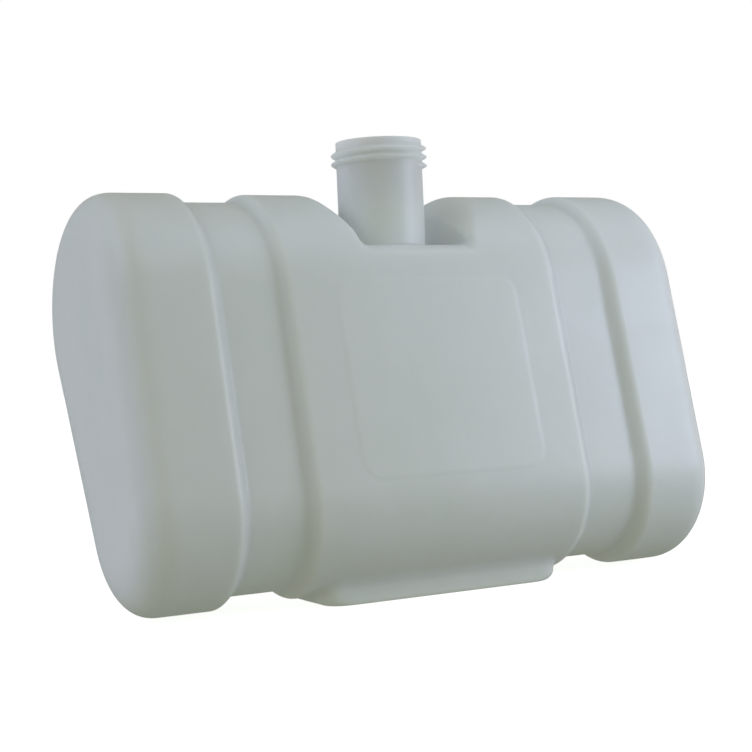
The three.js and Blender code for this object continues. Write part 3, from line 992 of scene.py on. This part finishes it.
def area(name, place_at, target, size, power, colour):
    """A soft rectangular light, in metres and watts, that the camera doesn't see."""
    light = bpy.data.lights.new(name, "AREA")
    light.shape = "RECTANGLE"
    light.size, light.size_y = size
    light.energy = power
    light.color = colour
    made = bpy.data.objects.new(name, light)
    made.location = place_at
    made.rotation_euler = (Vector(place_at) - Vector(target)).to_track_quat("Z", "Y").to_euler()
    made.visible_camera = False
    bpy.context.scene.collection.objects.link(made)


def studio():
    """A white background, lit as by broad soft panels: each lights from one side and fades round it."""
    world = bpy.data.worlds.new("studio")
    bpy.context.scene.world = world
    world.use_nodes = True
    tree = world.node_tree
    where = node(tree, "ShaderNodeTexCoord").outputs["Generated"]
    total = ROOM_LIGHT
    for towards, narrowness, colour in PANELS:
        way = towards.normalized()
        facing = node(tree, "ShaderNodeVectorMath", {0: where, 1: way}, operation="DOT_PRODUCT")
        share = sums(tree, "POWER", sums(tree, "MAXIMUM", facing.outputs["Value"], 0.0), narrowness)
        lit = node(tree, "ShaderNodeVectorMath", {0: colour}, operation="SCALE")
        tree.links.new(share, lit.inputs["Scale"])
        more = node(tree, "ShaderNodeVectorMath", {0: total, 1: lit.outputs[0]}, operation="ADD")
        total = more.outputs[0]
    seen = node(tree, "ShaderNodeBackground", {"Color": (1, 1, 1, 1)})
    lit = node(tree, "ShaderNodeBackground", {"Color": total})
    path = node(tree, "ShaderNodeLightPath")
    mixed = node(tree, "ShaderNodeMixShader", {0: path.outputs["Is Camera Ray"]})
    tree.links.new(lit.outputs[0], mixed.inputs[1])
    tree.links.new(seen.outputs[0], mixed.inputs[2])
    tree.links.new(mixed.outputs[0], tree.nodes["World Output"].inputs[0])


# The camera stands to the left and looks a little down, tilted a little clockwise.
YAW, PITCH, ROLL = (math.radians(a) for a in (28.13, 0.72, 2.52))
# Its focal length over the picture's width, its place in millimetres, and its reach in metres.
LENS_SHARE = 1585.7 / 752
SENSOR = 36
LOOKED_AT = Vector((0, 16.5, 99.31))
DISTANCE = 751.5
TO_ONE_SIDE = -7.06
FURTHEST_SEEN = 50
# Level directions as the camera sees them.
TO_RIGHT = Vector((math.cos(YAW), -math.sin(YAW), 0))
TO_BACK = Vector((math.sin(YAW), math.cos(YAW), 0))
TO_TOP = Vector((0, 0, 1))
# The even light from everywhere.
ROOM_LIGHT = (0.065, 0.088, 0.018)
# Which way each panel lies, how narrow it is, and its colour.
PANELS = [
    (TO_TOP, 2.0, (0.215, 0.150, 0.070)),
    (-TO_TOP, 2.0, (0.270, 0.255, 0.265)),
    (-TO_BACK, 2.0, (0.475, 0.465, 0.425)),
    (TO_RIGHT, 2.0, (0.080, 0.175, 0.310)),
    (-TO_RIGHT + 0.8 * TO_TOP - 0.3 * TO_BACK, 8.0, (1.30, 1.43, 1.98)),
    (TO_RIGHT + 0.8 * TO_TOP - 0.3 * TO_BACK, 8.0, (0.40, 0.30, 0.25)),
    (-TO_RIGHT + 0.5 * TO_BACK, 8.0, (0.79, 0.79, 1.01)),
    (TO_RIGHT + 0.5 * TO_BACK, 8.0, (0.53, 0.26, 0.06)),
    (TO_BACK, 2.0, (0.12, 0.12, 0.12)),
]
studio()
area(
    "right_softbox", place_at=(0.40, -0.30, 0.20), target=(0.1, -0.03, 0.1),
    size=(0.25, 0.3), power=0.91, colour=(0.685, 0.755, 1.0),
)
area(
    "top_softbox", place_at=(0.1, -0.15, 0.6), target=(0, 0, 0.15),
    size=(0.5, 0.3), power=0.458, colour=(0.475, 0.68, 1.0),
)

camera_data = bpy.data.cameras.new("camera")
camera_data.lens = LENS_SHARE * SENSOR
camera_data.sensor_width = SENSOR
camera_data.clip_end = FURTHEST_SEEN
camera = bpy.data.objects.new("camera", camera_data)
bpy.context.scene.collection.objects.link(camera)
bpy.context.scene.camera = camera
level = math.cos(PITCH)
ahead = Vector((math.sin(YAW) * level, math.cos(YAW) * level, -math.sin(PITCH)))
right = ahead.cross(TO_TOP).normalized()
above = right.cross(ahead)
tilted_right = right * math.cos(ROLL) - above * math.sin(ROLL)
tilted_up = right * math.sin(ROLL) + above * math.cos(ROLL)
eye = right * TO_ONE_SIDE + LOOKED_AT - ahead * DISTANCE
turn = Matrix((tilted_right, tilted_up, -ahead)).transposed().to_4x4()
camera.matrix_world = Matrix.Translation(eye * MM) @ turn

bpy.context.scene.view_settings.view_transform = "Standard"
